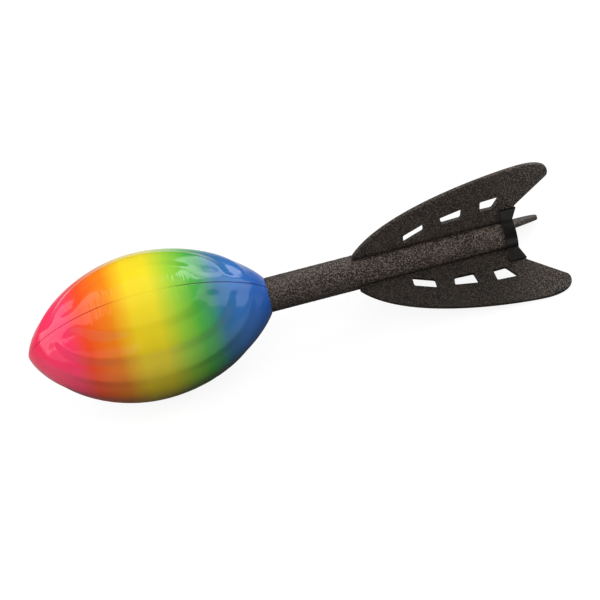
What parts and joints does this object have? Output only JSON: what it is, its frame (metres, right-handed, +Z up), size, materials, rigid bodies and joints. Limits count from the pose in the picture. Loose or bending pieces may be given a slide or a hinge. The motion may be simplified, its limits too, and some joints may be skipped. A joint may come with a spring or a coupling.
{
  "type": "vortex throwing toy",
  "caption": "Football-shaped foam head with a glossy rainbow skin, a foam tail tube and slotted fins held by a plastic tail clip; thrown like a javelin.",
  "frame": {"origin": "middle of the toy's box in plan, on the floor that it lies on", "axes": "+X from nose to tail, +Z up, +Y away from the side that the picture shows; one fin points up and the toy lies on its head and the other two fins"},
  "size_m": [0.3282, 0.0894, 0.0897],
  "materials": {
    "core_foam": "matte",
    "printed_skin": "gloss",
    "stiffener": "satin",
    "tail_foam": "matte",
    "clip_plastic": "gloss"
  },
  "bodies": {
    "root": {"head_core": "core_foam", "head_skin": "printed_skin", "core_tube": "stiffener", "shaft_tube": "tail_foam", "fin_upper": "tail_foam", "fin_near": "tail_foam", "fin_far": "tail_foam", "tail_clip": "clip_plastic"}
  },
  "joints": []
}
